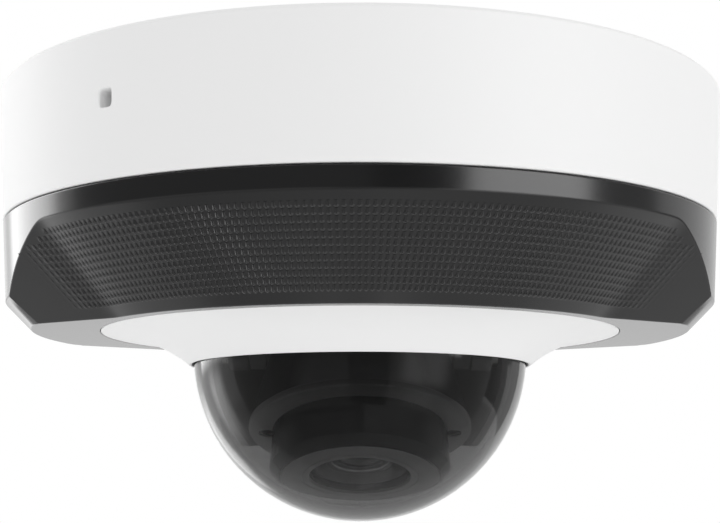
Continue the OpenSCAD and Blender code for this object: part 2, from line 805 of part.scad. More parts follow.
module lens_barrel() color([0.1, 0.1, 0.1]) optic() rotate_extrude() polygon([
    [barrel_bore, -barrel_back], [mount_bore - slip, -barrel_back], [mount_bore - slip, -mount_front - 0.6],
    [head_r, -mount_front - 0.6], [head_r, -head_a], [head_r - 0.5, -head_a],
    [ring_seat_r, -seat_a - ring_t], [ring_seat_r, -seat_a], [lens_seat_r, -seat_a],
    [lens_seat_r, -seat_a + seat_h], [barrel_bore, -seat_a + seat_h]
]);

module lens_ring() color([0.2, 0.2, 0.2])
    optic_ring(ring_seat_r - slip, glass_r, seat_a, seat_a + ring_t);

// The front glass bulges forward inside its ring
module front_lens() color([0.2, 0.25, 0.3, 0.6]) optic() {
    post(lens_seat_r - slip, -seat_a, -seat_a + seat_h - 0.2);
    intersection() {
        post(glass_r - slip, -glass_a, -seat_a + skin);
        translate([0, 0, -glass_a + glass_curve]) sphere(r = glass_curve, $fn = 180);
    }
}

module lamp_board() color("darkgreen") optic() difference() {
    post(lamp_bore - 0.1, -lamp_board_a - lamp_board_t, -lamp_board_a);
    post(face_bore, -far, far);
    at_face_screws() post(tiny_screw_r + fit, -far, far);
}

module ir_lamps() color("ivory") optic() at_lamps()
    translate([-lamp_size / 2, -lamp_size / 2, -lamp_board_a - lamp_board_t - lamp_h])
        cube([lamp_size, lamp_size, lamp_h]);

module lamp_windows() color([0.3, 0.1, 0.12, 0.8]) optic() at_lamps() intersection() {
    post(lamp_r, -face_a - lamp_proud, -cup_a - 0.1);
    translate([0, 0, -face_a - lamp_proud + lamp_curve]) sphere(r = lamp_curve);
}

module lamp_face() color([0.22, 0.22, 0.22]) optic() difference() {
    post(face_r, -face_a, -cup_a);
    post(face_bore, -far, far);
    at_lamps() post(lamp_r + slip, -far, far);
    at_face_screws() post(tiny_screw_r + fit, -far, far);
}

module face_screws() color("silver") optic() at_face_screws() translate([0, 0, -face_a])
    mirror([0, 0, 1]) screw(tiny_screw_r, face_a - lamp_board_a + face_bite, tiny_head_r, tiny_head_h);

module lens_shroud() color([0.12, 0.12, 0.12]) optic() rotate_extrude() polygon([
    [shroud_r - shroud_wall, -face_a], [shroud_r, -face_a], [shroud_r, -front_a + shroud_chamfer],
    [front_r, -front_a], [bezel_r, -front_a], [bezel_r, -front_a + bezel_t],
    [recess_r, -front_a + bezel_t], [recess_r, -front_a + front_t],
    [shroud_r - shroud_wall, -front_a + front_t]
]);

module lens_bezel() color([0.3, 0.3, 0.3]) optic() difference() {
    ring(bezel_r - slip, recess_r, -front_a, -front_a + bezel_t);
    ring(groove_r + 0.12, groove_r - 0.12, -front_a - 1, -front_a + 0.2);
}

// ---- nodes ----

mounting_plate();
cover();
cable_grommet();
body_seal();
lower_housing();
housing_screws();
collar();
collar_screws();
dome_gasket();
dome_bubble();
dome_clamp_ring();
main_board();
board_screws();
board_chips();
heat_sink();
cable_header();
card_slot();
reset_switch();
reset_button();
microphone();
microphone_boot();
chassis();
chassis_screws();
pan_washer();
pan_cradle();
pan_clip();
tilt_pins();
tilt_cradle();
module_cup();
module_cap();
sensor_board();
sensor_screws();
image_sensor();
ir_filter();
lens_mount();
rear_lens();
lens_barrel();
lens_ring();
front_lens();
lamp_board();
ir_lamps();
lamp_windows();
lamp_face();
face_screws();
lens_shroud();
lens_bezel();
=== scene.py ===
import math

import bmesh
import bpy
from mathutils import Matrix, Vector


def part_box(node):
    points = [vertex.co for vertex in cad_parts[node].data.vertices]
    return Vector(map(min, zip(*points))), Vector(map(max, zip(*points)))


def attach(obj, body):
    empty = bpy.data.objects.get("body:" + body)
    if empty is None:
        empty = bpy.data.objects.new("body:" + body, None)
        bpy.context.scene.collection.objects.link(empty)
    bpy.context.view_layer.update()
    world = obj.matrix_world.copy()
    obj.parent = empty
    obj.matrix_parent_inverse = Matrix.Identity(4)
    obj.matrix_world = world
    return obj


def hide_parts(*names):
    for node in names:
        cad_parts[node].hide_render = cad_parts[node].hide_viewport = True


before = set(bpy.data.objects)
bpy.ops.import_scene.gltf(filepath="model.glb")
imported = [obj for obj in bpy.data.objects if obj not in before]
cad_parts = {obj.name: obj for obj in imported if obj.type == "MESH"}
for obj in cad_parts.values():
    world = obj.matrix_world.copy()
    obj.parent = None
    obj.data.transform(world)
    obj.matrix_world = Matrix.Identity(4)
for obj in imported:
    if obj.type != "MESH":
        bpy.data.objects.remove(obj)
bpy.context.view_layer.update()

mm = 0.001


# ---- ceiling plate -------------------------------------------------------------------------
# The round steel plate that stays on the ceiling. It is stamped, its four screw seats are pressed
# in, and it is powder coated grey, with a faint orange peel. Its lugs hold the cover.

def finish(name, colour, roughness, metallic=0.0, cloud=45.0, mottling=0.05, grain=1500.0,
           relief=0.006, wear=0.0, worn=0.3, rounding=0.15, uneven=0.05, **sockets):
    """A finish with clouded colour, uneven gloss, a fine relief and rubbed edges."""
    material = bpy.data.materials.new(name)
    material.use_nodes = True
    nodes, links = material.node_tree.nodes, material.node_tree.links
    shader = nodes["Principled BSDF"]
    shader.inputs["Metallic"].default_value = metallic
    for socket, value in sockets.items():
        shader.inputs[socket.replace("_", " ")].default_value = value
    place = nodes.new("ShaderNodeTexCoord")
    clouds = nodes.new("ShaderNodeTexNoise")
    clouds.inputs["Scale"].default_value = cloud
    clouds.inputs["Detail"].default_value = 4.0
    specks = nodes.new("ShaderNodeTexNoise")
    specks.inputs["Scale"].default_value = grain
    specks.inputs["Detail"].default_value = 3.0
    for texture in (clouds, specks):
        links.new(place.outputs["Object"], texture.inputs["Vector"])
    tint = nodes.new("ShaderNodeMix")
    tint.data_type = "RGBA"
    links.new(clouds.outputs["Fac"], tint.inputs[0])
    tint.inputs[6].default_value = [c * (1 - mottling) for c in colour] + [1]
    tint.inputs[7].default_value = [min(1.0, c * (1 + mottling)) for c in colour] + [1]
    gloss = nodes.new("ShaderNodeMapRange")
    gloss.inputs["To Min"].default_value = max(0.02, roughness - uneven)
    gloss.inputs["To Max"].default_value = min(1.0, roughness + uneven)
    links.new(specks.outputs["Fac"], gloss.inputs["Value"])
    peel = nodes.new("ShaderNodeBump")
    peel.inputs["Distance"].default_value = relief * mm
    links.new(specks.outputs["Fac"], peel.inputs["Height"])
    if rounding:
        edge = nodes.new("ShaderNodeBevel")
        edge.samples = 4
        edge.inputs["Radius"].default_value = rounding * mm
        links.new(edge.outputs["Normal"], peel.inputs["Normal"])
    links.new(peel.outputs["Normal"], shader.inputs["Normal"])
    colour_out = tint.outputs[2]
    if wear:
        shape = nodes.new("ShaderNodeNewGeometry")
        turn = nodes.new("ShaderNodeVectorMath")
        turn.operation = "DOT_PRODUCT"
        links.new(edge.outputs["Normal"], turn.inputs[0])
        links.new(shape.outputs["Normal"], turn.inputs[1])
        rubbed = nodes.new("ShaderNodeMapRange")
        rubbed.inputs["From Min"].default_value = 0.995
        rubbed.inputs["From Max"].default_value = 0.9
        rubbed.inputs["To Max"].default_value = wear
        links.new(turn.outputs["Value"], rubbed.inputs["Value"])
        patchy = nodes.new("ShaderNodeMath")
        patchy.operation = "MULTIPLY"
        links.new(rubbed.outputs["Result"], patchy.inputs[0])
        links.new(clouds.outputs["Fac"], patchy.inputs[1])
        bare = nodes.new("ShaderNodeMix")
        bare.data_type = "RGBA"
        links.new(patchy.outputs["Value"], bare.inputs[0])
        links.new(colour_out, bare.inputs[6])
        bare.inputs[7].default_value = (worn, worn, worn, 1)
        colour_out = bare.outputs[2]
    if mottling or wear:
        links.new(colour_out, shader.inputs["Base Color"])
    else:
        shader.inputs["Base Color"].default_value = (*colour, 1)
    if uneven:
        links.new(gloss.outputs["Result"], shader.inputs["Roughness"])
    else:
        shader.inputs["Roughness"].default_value = roughness
    return material


def coat(material, *names):
    """Gives CAD nodes their finish."""
    for name in names:
        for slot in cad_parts[name].material_slots:
            slot.material = material


powder_grey = finish("powder coat grey", (0.42, 0.42, 0.43), 0.5, grain=2600, relief=0.02, wear=0.6,
                     worn=0.6, rounding=0.2, mottling=0.04)
coat(powder_grey, "mounting_plate")


# ---- cover ---------------------------------------------------------------------------------
# The white cover is one moulding in white ABS with a satin skin: a tapered wall, a web under the
# ceiling plate, posts for the screws, and the sound port in the wall. It turns onto the plate.

def softened(outline, steps=4):
    """An outline's points with each corner (radius, height, round) turned into a small arc."""
    points = []
    for i, corner in enumerate(outline):
        here = Vector(corner[:2])
        back = Vector(outline[i - 1][:2]) - here
        ahead = Vector(outline[(i + 1) % len(outline)][:2]) - here
        if len(corner) < 3 or corner[2] <= 0:
            points.append(here)
            continue
        half = back.angle(ahead) / 2
        if half > math.radians(89.5):
            points += [here] * (steps + 3)
            continue
        reach = min(corner[2] / math.tan(half), 0.42 * back.length, 0.42 * ahead.length)
        radius = reach * math.tan(half)
        start, end = here + back.normalized() * reach, here + ahead.normalized() * reach
        centre = here + (back.normalized() + ahead.normalized()).normalized() * (radius / math.sin(half))
        first = math.atan2(start.y - centre.y, start.x - centre.x)
        sweep = math.atan2(end.y - centre.y, end.x - centre.x) - first
        sweep = (sweep + math.pi) % (2 * math.pi) - math.pi
        hold = min(0.05, 0.05 * back.length, 0.05 * ahead.length)
        points.append(start + back.normalized() * hold)
        for step in range(steps + 1):
            angle = first + sweep * step / steps
            points.append(centre + radius * Vector((math.cos(angle), math.sin(angle))))
        points.append(end + ahead.normalized() * hold)
    return points


def placed(name, data):
    """An object for a mesh, a lamp or a camera, put in the scene."""
    piece = bpy.data.objects.new(name, data)
    bpy.context.scene.collection.objects.link(piece)
    return piece


def outward(mesh):
    """Turns all of a closed mesh's faces outwards."""
    skin = bmesh.new()
    skin.from_mesh(mesh)
    bmesh.ops.recalc_face_normals(skin, faces=skin.faces)
    skin.to_mesh(mesh)
    skin.free()


def closed(name, rows, sides, place=Matrix.Identity(4), sharp=32.0):
    """A closed skin from columns of points in millimetres, given as rows[column][point]."""
    mesh = bpy.data.meshes.new(name)
    count = len(rows[0])
    faces = []
    for i in range(sides):
        for j in range(count):
            a, b = i * count + j, i * count + (j + 1) % count
            c, d = (i + 1) % sides * count + (j + 1) % count, (i + 1) % sides * count + j
            faces.append((a, b, c, d))
    mesh.from_pydata([place @ (p * mm) for column in rows for p in column], [], faces)
    skin = bmesh.new()
    skin.from_mesh(mesh)
    bmesh.ops.remove_doubles(skin, verts=skin.verts, dist=2e-7)
    bmesh.ops.dissolve_degenerate(skin, dist=1e-8, edges=skin.edges)
    bmesh.ops.recalc_face_normals(skin, faces=skin.faces)
    skin.to_mesh(mesh)
    skin.free()
    mesh.shade_smooth()
    mesh.set_sharp_from_angle(angle=math.radians(sharp))
    return placed(name, mesh)


def turned(name, outline, sides=256, place=Matrix.Identity(4), steps=4):
    """A turned piece: an outline of (radius, height, round) in millimetres, once round the Z axis."""
    points = softened(outline, steps)
    rows = []
    for i in range(sides):
        turn = 2 * math.pi * i / sides
        rows.append([Vector((p.x * math.cos(turn), p.x * math.sin(turn), p.y)) for p in points])
    return closed(name, rows, sides, place)


def peg(radius, low, high, x=0.0, y=0.0, sides=48, place=Matrix.Identity(4)):
    """A plain round peg, for posts to join and for bores to cut."""
    rows = []
    for i in range(sides):
        turn = 2 * math.pi * i / sides
        out = Vector((x + radius * math.cos(turn), y + radius * math.sin(turn), 0))
        rows.append([Vector((x, y, low)), out + Vector((0, 0, low)), out + Vector((0, 0, high)),
                     Vector((x, y, high))])
    return closed("peg", rows, sides, place)


def worked(piece, pegs, how):
    """Joins pegs to a piece (UNION) or cuts them from it (DIFFERENCE), and returns a plain mesh."""
    gathered = bmesh.new()
    for one in pegs:
        gathered.from_mesh(one.data)
    gathered.to_mesh(pegs[0].data)
    gathered.free()
    cut = piece.modifiers.new("cut", "BOOLEAN")
    cut.operation, cut.solver, cut.object = how, "MANIFOLD", pegs[0]
    looks = bpy.context.evaluated_depsgraph_get()
    mesh = bpy.data.meshes.new_from_object(piece.evaluated_get(looks), depsgraph=looks)
    piece.modifiers.clear()
    piece.data = mesh
    mesh.set_sharp_from_angle(angle=math.radians(32))
    for one in pegs:
        bpy.data.objects.remove(one)
    return piece


def on_circle(count, radius, start=0.0):
    """Places on a circle about the Z axis, in millimetres."""
    return [(radius * math.cos(math.radians(start + i * 360 / count)),
             radius * math.sin(math.radians(start + i * 360 / count))) for i in range(count)]


def dressed(piece, material, node, body="root"):
    """The piece takes its finish, stands for its CAD node and rides on its body."""
    piece.data.materials.clear()
    piece.data.materials.append(material)
    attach(piece, body)
    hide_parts(node)
    return piece


cover_low, cover_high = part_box("cover")
cover_r, seam_z = cover_high.x / mm, cover_low.z / mm
seam_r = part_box("lower_housing")[1].x / mm + 0.02
wall_in = seam_r - 2.6
web_top, web_low = -2.4, -4.6
spigot_out = wall_in - 0.15
spigot_in = spigot_out - 1.8
spigot_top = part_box("lower_housing")[1].z / mm
tube_circle, post_circle = spigot_in - 2.2, spigot_in - 3.85
chassis_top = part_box("chassis")[1].z / mm
board_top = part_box("main_board")[1].z / mm

cover = turned("cover_shell", [
    (0, web_low), (wall_in, web_low, 0.6), (wall_in, seam_z, 0.15), (seam_r, seam_z, 0.28),
    (cover_r, -0.5, 0.3), (cover_r - 0.5, 0, 0.3), (wall_in, 0, 0.2), (wall_in, web_top, 0.2), (0, web_top),
])
ledge = turned("ledge", [
    (wall_in + 0.3, spigot_top + 1.2), (wall_in + 0.3, spigot_top + 2.4),
    (spigot_in - 0.4, spigot_top + 2.4, 0.2), (spigot_in - 0.4, spigot_top + 1.2, 0.2)])
bite = 0.4
post_r, board_post_r, board_circle, board_turn = 3.2, 2.8, 36, 22.5
chassis_places = on_circle(4, post_circle)
tube_places = on_circle(4, tube_circle, 45)
board_places = on_circle(4, board_circle, board_turn)
posts = [ledge]
posts += [peg(post_r, chassis_top, web_low + bite, x, y) for x, y in chassis_places]
posts += [peg(post_r, spigot_top + 1.4, web_low + bite, x, y) for x, y in tube_places]
posts += [peg(board_post_r, board_top, web_low + bite, x, y) for x, y in board_places]
worked(cover, posts, "UNION")
grommet_bore, pilot_r, screw_way, head_way, head_seat, drill_low = 6.05, 1.0, 1.7, 2.9, -4.7, -30
bores = [peg(grommet_bore, web_low - 2, web_top + 2)]
for x, y in tube_places:
    bores.append(turned("bore", [
        (0, drill_low), (screw_way, drill_low), (screw_way, head_seat), (head_way, head_seat),
        (head_way, 1), (0, 1),
    ], 48, Matrix.Translation((x * mm, y * mm, 0))))
bores += [peg(pilot_r, chassis_top - 1, chassis_top + 6, x, y) for x, y in chassis_places]
bores += [peg(pilot_r, board_top - 1, board_top + 4, x, y) for x, y in board_places]
# The sound port: a small upright opening with rounded corners and an eased edge
port_w, port_h, port_z, port_turn, port_sides = 2.2, 2.42, -9.15, 36.7, 48
squareness = 0.45
port_way = Matrix.Rotation(math.radians(-90 - port_turn), 4, "Z")
wall_r = seam_r + (cover_r - seam_r) * (port_z - seam_z) / (0 - seam_z)
rows = []
for i in range(port_sides):
    turn = 2 * math.pi * i / port_sides
    column = []
    wide = math.copysign(abs(math.cos(turn)) ** squareness, math.cos(turn))
    high = math.copysign(abs(math.sin(turn)) ** squareness, math.sin(turn))
    for depth, grown in ((wall_in - 1.5, 0), (wall_in - 1.5, 1), (wall_r - 0.25, 1), (wall_r - 0.12, 1.015),
                         (wall_r - 0.03, 1.06), (wall_r + 0.3, 1.25), (wall_r + 0.3, 0)):
        column.append(Vector((depth, grown * port_w / 2 * wide, port_z + grown * port_h / 2 * high)))
    rows.append(column)
slot_cut = closed("slot", rows, port_sides, port_way)
worked(cover, bores + [slot_cut], "DIFFERENCE")
# Three lips turn under the plate's lugs
lip_count, lip_span, lip_steps, lip_reach = 3, 26, 16, 2.15
for lip in range(lip_count):
    start = math.radians(90 + lip * 120 - lip_span / 2)
    rows = []
    for i in range(lip_steps + 1):
        turn = start + math.radians(lip_span) * i / lip_steps
        way = Vector((math.cos(turn), math.sin(turn), 0))
        rows.append([way * r + Vector((0, 0, z)) for r, z in (
            (wall_in + 0.2, -1), (wall_in + 0.2, -0.03), (wall_in - 2.1, -0.03), (wall_in - lip_reach, -0.1),
            (wall_in - lip_reach, -0.93), (wall_in - 2.1, -1))])
    mesh = bpy.data.meshes.new("lip")
    n = len(rows[0])
    faces = [(i * n + j, i * n + (j + 1) % n, (i + 1) * n + (j + 1) % n, (i + 1) * n + j)
             for i in range(lip_steps) for j in range(n)]
    faces += [tuple(range(n)), tuple(lip_steps * n + j for j in range(n))]
    mesh.from_pydata([p * mm for column in rows for p in column], [], faces)
    outward(mesh)
    worked(cover, [placed("lip", mesh)], "UNION")
white_abs = finish("white ABS, satin", (0.87, 0.87, 0.87), 0.55, cloud=22, mottling=0.008,
                   grain=3200, relief=0.004, wear=0.15, worn=0.9, rounding=0.12, uneven=0.04, IOR=1.48,
                   Specular_IOR_Level=0.2)
dressed(cover, white_abs, "cover")


# ---- grommet and body seal -----------------------------------------------------------------
# Moulded black rubber: the grommet snaps into the web round the cable, and the flat seal is
# pressed between the spigot and the cover. Both are matt, with a bloom of mould release.

soft_rubber = finish("black rubber", (0.016, 0.016, 0.017), 0.62, cloud=90, mottling=0.25, grain=1900,
                     relief=0.012, wear=0.3, worn=0.06, uneven=0.1)
coat(soft_rubber, "cable_grommet", "body_seal", "dome_gasket", "microphone_boot")


# ---- lower housing -------------------------------------------------------------------------
# The black housing is one moulding in glossy black polycarbonate: a band, a 45 degree bevel, a
# conical facet at the front and rear, and two flat planes beside each. Four screws draw it up.

bottom_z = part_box("lower_housing")[0].z / mm
band_z, band_r = seam_z - 0.2, seam_r - 0.02
bevel_w = 3.75
bevel_r = band_r - 0.73
foot_r = bevel_r - bevel_w
collar_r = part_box("collar")[1].x / mm
facet_low_r = collar_r + 2.5
facet_high_z = seam_z - 3.1
facet_slope = (band_r - 0.1 - facet_low_r) / (facet_high_z - bottom_z)
facet_wall = 2.2 * math.sqrt(1 + facet_slope ** 2)
kink, plane_turn, kink_soft = 53.2, 32.3, 3.0
plane_ratio = math.cos(math.radians(kink - plane_turn))
shelf_h = 3.8
shelf_top = bottom_z + shelf_h
cone_top = bottom_z + (spigot_in - facet_low_r + facet_wall) / facet_slope
pocket_r = collar_r + 0.1
melt_least, melt_most, melt_fade, slope_steps = 0.01, 2.2, 1.4, 12


def facet_spread(turn):
    """How much further out the facet lies at an angle from the front than on its cone."""
    turn = abs(turn)
    near = max(kink_soft - abs(turn - kink), 0) / kink_soft
    turn = max(turn, kink) + near ** 3 * kink_soft / 6
    return plane_ratio / math.cos(math.radians(turn - plane_turn))


def housing_section(turn):
    """The housing's outline at an angle from the front or the rear, in degrees."""
    spread = facet_spread(turn)
    band_slope = (band_r - bevel_r) / (band_z - bottom_z - bevel_w)
    steepness = spread * facet_slope
    crest = (bevel_r - band_slope * bevel_w - spread * facet_low_r) / (steepness - band_slope)
    melt = melt_least
    if crest < bevel_w:
        # the plane ends on the bevel, not on the band, and runs softly into it
        crest = (foot_r - spread * facet_low_r) / (steepness - 1) if steepness > 1 else 0
        melt += melt_most * min(3 * (bevel_w - crest) / bevel_w, 1)
        crest = bevel_w
    slope_points = []
    for step in range(slope_steps + 1):
        rise = crest * step / slope_steps
        facet, bevel = spread * (facet_low_r + facet_slope * rise), foot_r + rise
        if crest > bevel_w:
            bevel = facet + 1
        near = max(melt - abs(facet - bevel), 0) / melt
        fade = min(max(crest - rise, 0) / melt_fade, 1)
        slope_points.append((min(facet, bevel) - fade * near ** 2 * melt / 4, bottom_z + rise))
    low, top = slope_points[0], slope_points[-1]
    knee = ((top[0] + band_r) / 2, (top[1] + band_z) / 2)
    return [
        (pocket_r, bottom_z, 0.12), (*low, 0.3), *slope_points[1:-1], (*top, 0.5), knee,
        (band_r, band_z, 0.16), (spigot_out, band_z, 0.05), (spigot_out, spigot_top, 0.2),
        (spigot_in, spigot_top, 0.2), (spigot_in, cone_top, 0.3),
        (facet_low_r + facet_slope * shelf_h - facet_wall, shelf_top, 0.2),
        (collar_r - 4.8, shelf_top, 0.2), (collar_r - 4.8, bottom_z + 2, 0.2), (pocket_r, bottom_z + 2, 0.2),
    ]


# The outlines stand closer together where the facet ends and where the planes meet the bevel
spacing = ((0, 0.75, 66), (49.5, 0.25, 28), (56.5, 0.75, 10), (64, 0.22, 55), (76.1, 0.7722, 18))
quarter = []
for start, step, count in spacing:
    quarter += [start + step * i for i in range(count)]
turns = quarter + [180 - t for t in reversed(quarter)]
turns = sorted(set([round(t, 4) for t in turns] + [round(-t, 4) for t in turns if 0 < t < 180] + [90, -90]))
turns = [t for t in turns if t > -180]
columns = []
for turn in turns:
    folded = abs(turn) if abs(turn) <= 90 else 180 - abs(turn)
    way = Vector((math.sin(math.radians(turn)), -math.cos(math.radians(turn)), 0))
    column = []
    for p in softened(housing_section(folded), 4):
        column.append(way * p.x + Vector((0, 0, p.y)))
    columns.append(column)
housing = closed("housing_shell", columns, len(columns), sharp=24)
stem_r, stem_bore = 3.0, 1.5
worked(housing, [peg(stem_r, cone_top - 1.2, spigot_top - 0.02, x, y) for x, y in tube_places], "UNION")
collar_screw_places = on_circle(4, collar_r - 2.4, 45)
bores = [peg(stem_bore, spigot_top - 8, spigot_top + 1, x, y) for x, y in tube_places]
bores += [peg(pilot_r, bottom_z - 1, shelf_top + 1, x, y) for x, y in collar_screw_places]
worked(housing, bores, "DIFFERENCE")
black_gloss = finish("black polycarbonate, polished", (0.009, 0.009, 0.0093), 0.2, cloud=30, mottling=0.12,
                     grain=2600, relief=0.0012, wear=0.25, worn=0.03, rounding=0.2, uneven=0.03, IOR=1.5)
dressed(housing, black_gloss, "lower_housing")


# ---- grip texture on the facets ------------------------------------------------------------
# Rows of small raised scales are moulded into both facets, nearly flush at their upper edge and
# proud at the lower one. They fade out on the flat planes beside the facet.

row_end, row_step = 0.9, 2.4
fade_from, fade_to = 54.5, 61.5


def scale_rows(name, facing):
    """The texture of one facet, by Geometry Nodes; facing is 1 for the front and -1 for the rear."""
    tree = bpy.data.node_groups.new(name, "GeometryNodeTree")
    wants = (
        ("Columns", "Int", 117),
        ("Rows", "Int", 12),
        ("Pitch angle", "Float", math.radians(1.05)),
        ("Row pitch", "Float", 1.158 * mm),
        ("Scale width", "Float", math.radians(1.0)),
        ("Scale length", "Float", 1.1 * mm),
        ("Relief", "Float", 0.115 * mm),
        ("Side slope", "Float", 0.26),
        ("Lower slope", "Float", 2.5),
        ("Upper share", "Float", 0.3),
        ("Corner", "Float", 0.28 * mm),
        ("First row", "Float", 2.41 * mm),
        ("Facing", "Float", 1.0),
        ("Finish", "Material", None),
    )
    sockets = {}
    for label, kind, value in wants:
        socket = tree.interface.new_socket(label, in_out="INPUT", socket_type="NodeSocket" + kind)
        if value is not None:
            socket.default_value = value
        sockets[label] = socket.identifier
    tree.interface.new_socket("Geometry", in_out="OUTPUT", socket_type="NodeSocketGeometry")
    nodes, links = tree.nodes, tree.links
    given = nodes.new("NodeGroupInput")
    result = nodes.new("NodeGroupOutput")

    def calc(how, a, b=None, c=None):
        node = nodes.new("ShaderNodeMath")
        node.operation = how
        for i, value in enumerate((a, b, c)):
            if value is None:
                continue
            if isinstance(value, (int, float)):
                node.inputs[i].default_value = value
            else:
                links.new(value, node.inputs[i])
        return node.outputs[0]

    def point():
        place = nodes.new("GeometryNodeInputPosition")
        parts = nodes.new("ShaderNodeSeparateXYZ")
        links.new(place.outputs[0], parts.inputs[0])
        return parts.outputs

    def moved(geometry, x, y, z):
        join = nodes.new("ShaderNodeCombineXYZ")
        for i, value in enumerate((x, y, z)):
            links.new(value, join.inputs[i])
        node = nodes.new("GeometryNodeSetPosition")
        links.new(geometry, node.inputs["Geometry"])
        links.new(join.outputs[0], node.inputs["Position"])
        return node.outputs[0]

    g = given.outputs
    sunk = 0.02 * mm
    # One scale: a block whose face slopes up from its upper edge, with bevelled sides and cut corners
    block = nodes.new("GeometryNodeMeshCube")
    block.inputs["Vertices X"].default_value = 4
    size = nodes.new("ShaderNodeCombineXYZ")
    links.new(g["Scale width"], size.inputs[0])
    links.new(g["Scale length"], size.inputs[1])
    links.new(g["Relief"], size.inputs[2])
    links.new(size.outputs[0], block.inputs["Size"])
    x, y, z = point()
    above = calc("GREATER_THAN", z, 0)
    low_end = calc("LESS_THAN", y, 0)
    lower = calc("MULTIPLY", above, low_end)
    outer = calc("GREATER_THAN", calc("ABSOLUTE", x), calc("MULTIPLY", g["Scale width"], 0.25))
    narrow = calc("SUBTRACT", 1, calc("MULTIPLY", above, calc("SUBTRACT", 1, g["Side slope"])))
    # the lower edge of the face stands proud, the upper edge is almost flush
    share = calc("ADD", low_end, calc("MULTIPLY", calc("SUBTRACT", 1, low_end), g["Upper share"]))
    face = calc("MULTIPLY", calc("MULTIPLY", above, share), g["Relief"])
    rise = calc("SUBTRACT", face, calc("MULTIPLY", calc("SUBTRACT", 1, above), sunk))
    inset = calc("MULTIPLY", lower, calc("MULTIPLY", g["Relief"], g["Lower slope"]))
    cut = calc("MULTIPLY", calc("MULTIPLY", outer, low_end), g["Corner"])
    back = calc("ADD", y, calc("ADD", inset, cut))
    scale = moved(block.outputs["Mesh"], calc("MULTIPLY", x, narrow), back, rise)
    # The rows and columns, laid out flat: x is the angle, y the way up the facet
    layout = nodes.new("GeometryNodeMeshGrid")
    across = calc("MULTIPLY", g["Pitch angle"], calc("SUBTRACT", g["Columns"], 1))
    upward = calc("MULTIPLY", g["Row pitch"], calc("SUBTRACT", g["Rows"], 1))
    links.new(across, layout.inputs["Size X"])
    links.new(upward, layout.inputs["Size Y"])
    links.new(g["Columns"], layout.inputs["Vertices X"])
    links.new(g["Rows"], layout.inputs["Vertices Y"])
    # Beside the facet the upper rows stop early, in a slanting line
    x, y, z = point()
    from_top = calc("DIVIDE", calc("SUBTRACT", calc("MULTIPLY", upward, 0.5), y), g["Row pitch"])
    limit = calc("ADD", math.radians(kink + row_end), calc("MULTIPLY", from_top, math.radians(row_step)))
    beyond = nodes.new("GeometryNodeDeleteGeometry")
    links.new(layout.outputs["Mesh"], beyond.inputs["Geometry"])
    links.new(calc("GREATER_THAN", calc("ABSOLUTE", x), limit), beyond.inputs["Selection"])
    spread = nodes.new("GeometryNodeInstanceOnPoints")
    links.new(beyond.outputs[0], spread.inputs["Points"])
    links.new(scale, spread.inputs["Instance"])
    real = nodes.new("GeometryNodeRealizeInstances")
    links.new(spread.outputs["Instances"], real.inputs[0])
    # Wrapped onto the cone and the planes beside it
    x, y, z = point()
    slant = math.hypot(1, facet_slope)
    along = calc("ADD", calc("ADD", y, calc("MULTIPLY", upward, 0.5)), g["First row"])
    soft, bend = math.radians(kink_soft), math.radians(kink)
    size_x = calc("ABSOLUTE", x)
    past = calc("ABSOLUTE", calc("SUBTRACT", size_x, bend))
    near = calc("DIVIDE", calc("MAXIMUM", calc("SUBTRACT", soft, past), 0), soft)
    held = calc("ADD", calc("MAXIMUM", size_x, bend), calc("MULTIPLY", calc("POWER", near, 3), soft / 6))
    stretch = calc("DIVIDE", plane_ratio, calc("COSINE", calc("SUBTRACT", held, math.radians(plane_turn))))
    fade = nodes.new("ShaderNodeMapRange")
    fade.interpolation_type = "SMOOTHSTEP"
    links.new(size_x, fade.inputs["Value"])
    fade.inputs["From Min"].default_value = math.radians(fade_from)
    fade.inputs["From Max"].default_value = math.radians(fade_to)
    fade.inputs["To Min"].default_value = 1.0
    fade.inputs["To Max"].default_value = 0.0
    proud = calc("SUBTRACT", calc("MULTIPLY", calc("MAXIMUM", z, 0), fade.outputs[0]),
                 calc("MULTIPLY", calc("LESS_THAN", z, -sunk / 2), sunk))
    tipped = calc("MULTIPLY", proud, facet_slope / slant)
    height = calc("SUBTRACT", calc("MULTIPLY", along, 1 / slant), tipped)
    plain = calc("ADD", facet_low_r * mm, calc("MULTIPLY", along, facet_slope / slant))
    radius = calc("ADD", calc("MULTIPLY", plain, stretch), calc("MULTIPLY", proud, 1 / slant))
    forward = calc("MULTIPLY", calc("MULTIPLY", radius, calc("COSINE", x)), -1)
    wrapped = moved(real.outputs[0], calc("MULTIPLY", radius, calc("SINE", x)),
                    calc("MULTIPLY", forward, g["Facing"]), calc("ADD", height, bottom_z * mm))
    paint = nodes.new("GeometryNodeSetMaterial")
    links.new(wrapped, paint.inputs["Geometry"])
    links.new(g["Finish"], paint.inputs["Material"])
    links.new(paint.outputs[0], result.inputs[0])

    holder = placed(name, bpy.data.meshes.new(name))
    grow = holder.modifiers.new("scales", "NODES")
    grow.node_group = tree
    grow[sockets["Facing"]] = float(facing)
    grow[sockets["Finish"]] = scale_gloss
    looks = bpy.context.evaluated_depsgraph_get()
    mesh = bpy.data.meshes.new_from_object(holder.evaluated_get(looks), depsgraph=looks)
    holder.modifiers.clear()
    holder.data = mesh
    outward(mesh)
    mesh.shade_flat()
    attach(holder, "root")
    return holder


scale_gloss = finish("black polycarbonate, textured", (0.009, 0.009, 0.0093), 0.17, cloud=30, mottling=0.12,
                     grain=2600, relief=0.0008, rounding=0, uneven=0.03, IOR=1.5)
scale_rows("grip_scales_front", 1)
scale_rows("grip_scales_rear", -1)


# ---- housing screws, collar screws and the other fasteners ---------------------------------
# Zinc-plated steel machine screws with pan heads and hex sockets, and the ground tilt pins.

